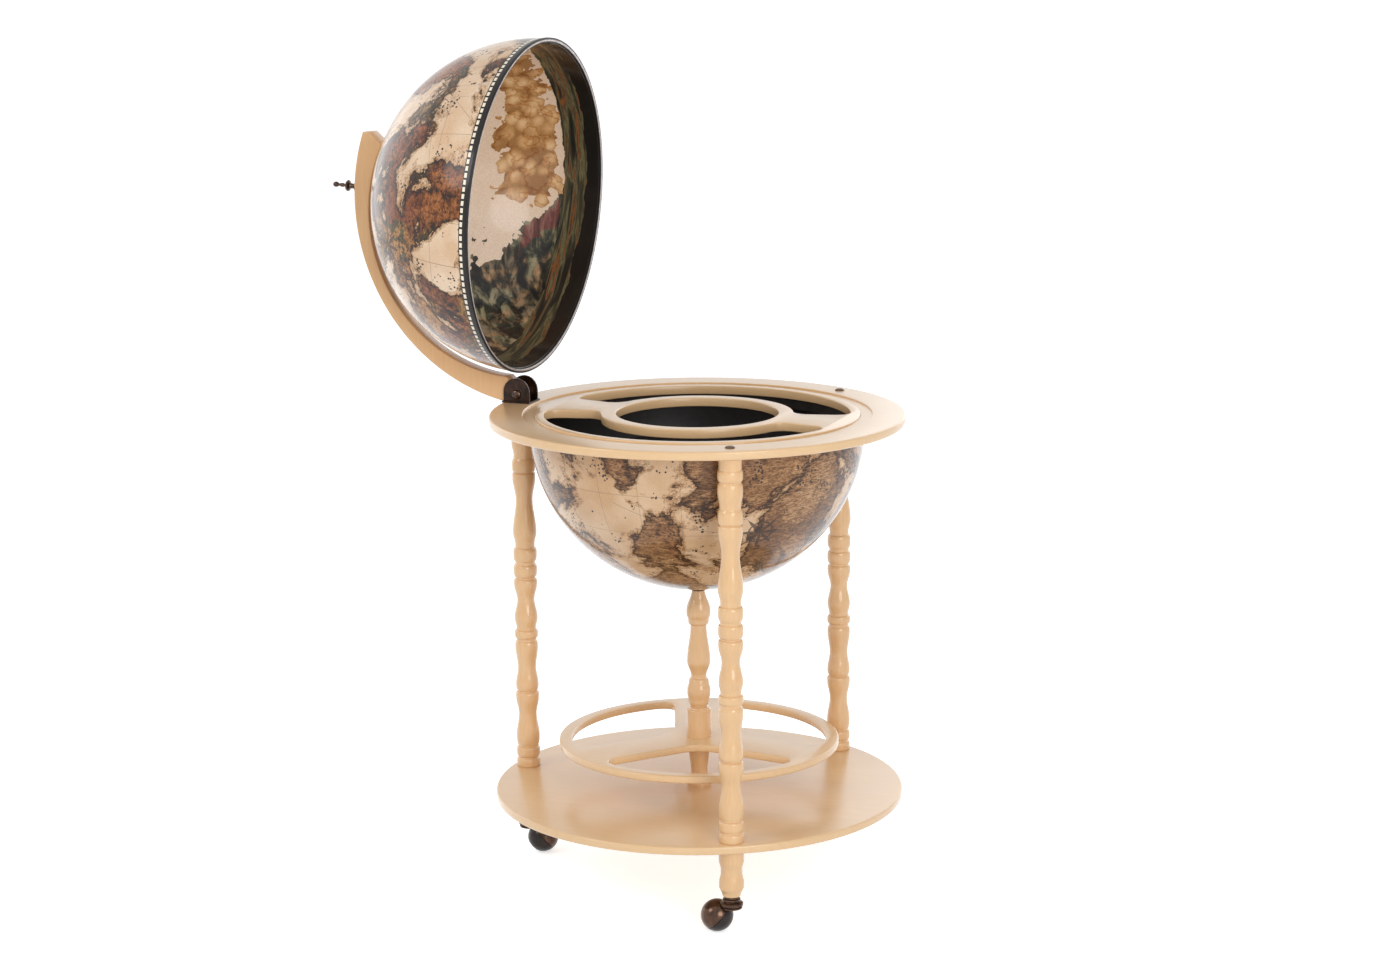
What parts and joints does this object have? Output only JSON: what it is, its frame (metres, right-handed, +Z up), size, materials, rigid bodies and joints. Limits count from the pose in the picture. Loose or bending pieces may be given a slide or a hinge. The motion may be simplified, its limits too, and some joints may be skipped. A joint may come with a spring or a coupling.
{
  "type": "floor globe bar",
  "caption": "Floor-standing drinks globe: a hinged globe lid over a serving ring with bottle well and glass slots, on turned legs with a rack, a shelf and ball casters.",
  "frame": {"origin": "Middle of the model's box in plan, at floor level, with the lid open as modelled; the bar's own vertical axis lies 128.65 mm from it towards -Y.", "axes": "+Z is up, +Y points towards the hinge and the rear leg, and +X is to the right when seen from the side opposite the hinge."},
  "size_m": [0.558, 0.8154, 1.1361],
  "materials": {
    "lacquered_wood": "cream-beige satin lacquer over turned and sawn wood",
    "globe_print": "printed paper under gloss varnish",
    "lining_print": "printed card lining under varnish",
    "rim_trim": "plain drawn metal edge",
    "bronze_steel": "dark bronze plating over pressed steel",
    "bronze_cast": "bronze plating over die casting",
    "cap_plastic": "brown moulded plastic",
    "wheel_plastic": "dark brown moulded plastic",
    "black_plastic": "black moulded plastic",
    "zinc_steel": "zinc-plated steel"
  },
  "bodies": {
    "stand": {"base_shelf": "lacquered_wood", "table_ring": "lacquered_wood", "insert_plate": "lacquered_wood", "bowl_hoop": "lacquered_wood", "glass_shelf": "lacquered_wood", "bottle_floor": "lacquered_wood", "bottle_rack": "lacquered_wood", "centre_column": "lacquered_wood", "lower_column": "lacquered_wood", "rear_leg": "lacquered_wood", "rear_foot": "lacquered_wood", "rear_leg_stud": "zinc_steel", "rear_leg_screw": "zinc_steel", "rear_caster_socket": "zinc_steel", "left_leg": "lacquered_wood", "left_foot": "lacquered_wood", "left_leg_stud": "zinc_steel", "left_leg_screw": "zinc_steel", "left_caster_socket": "zinc_steel", "right_leg": "lacquered_wood", "right_foot": "lacquered_wood", "right_leg_stud": "zinc_steel", "right_leg_screw": "zinc_steel", "right_caster_socket": "zinc_steel", "bowl_shell": "globe_print", "hinge_bracket": "bronze_steel", "inner_bracket_screw": "bronze_steel", "outer_bracket_screw": "bronze_steel", "hinge_bolt": "bronze_steel", "hinge_nut": "bronze_steel", "left_screw_cap": "cap_plastic", "right_screw_cap": "cap_plastic", "column_washer": "black_plastic", "tie_rod": "zinc_steel", "tie_rod_top_nut": "zinc_steel", "tie_rod_bottom_nut": "zinc_steel"},
    "lid": {"lid_shell": "globe_print", "lid_lining": "lining_print", "lid_band": "rim_trim", "meridian_arc": "lacquered_wood", "pole_spacer": "bronze_cast", "finial": "bronze_cast", "pole_washer": "zinc_steel", "pole_nut": "zinc_steel", "pole_rod": "zinc_steel"},
    "rear_caster": {"rear_caster_hood": "bronze_cast", "rear_caster_axle": "zinc_steel"},
    "rear_wheel": {"rear_caster_wheel": "wheel_plastic"},
    "left_caster": {"left_caster_hood": "bronze_cast", "left_caster_axle": "zinc_steel"},
    "left_wheel": {"left_caster_wheel": "wheel_plastic"},
    "right_caster": {"right_caster_hood": "bronze_cast", "right_caster_axle": "zinc_steel"},
    "right_wheel": {"right_caster_wheel": "wheel_plastic"}
  },
  "joints": [
    {"name": "lid_hinge", "type": "hinge", "parent": "stand", "child": "lid", "pos_m": [0, 0.12965, 0.6534], "axis": [1, 0, 0], "range_deg": [0, 86.2]},
    {"name": "rear_swivel", "type": "hinge", "parent": "stand", "child": "rear_caster", "pos_m": [0, 0.12735, 0.05], "axis": [0, 0, 1], "continuous": true},
    {"name": "rear_roll", "type": "hinge", "parent": "rear_caster", "child": "rear_wheel", "pos_m": [0, 0.10685, 0.0215], "axis": [-0.411, 0.633, -0.6561], "continuous": true},
    {"name": "left_swivel", "type": "hinge", "parent": "stand", "child": "left_caster", "pos_m": [-0.2217, -0.25665, 0.05], "axis": [0, 0, 1], "continuous": true},
    {"name": "left_roll", "type": "hinge", "parent": "left_caster", "child": "left_wheel", "pos_m": [-0.22099, -0.23616, 0.0215], "axis": [0.3887, -0.6469, -0.6561], "continuous": true},
    {"name": "right_swivel", "type": "hinge", "parent": "stand", "child": "right_caster", "pos_m": [0.2217, -0.25665, 0.05], "axis": [0, 0, 1], "continuous": true},
    {"name": "right_roll", "type": "hinge", "parent": "right_caster", "child": "right_wheel", "pos_m": [0.20395, -0.2464, 0.0215], "axis": [0.7537, 0.0395, -0.6561], "continuous": true}
  ]
}
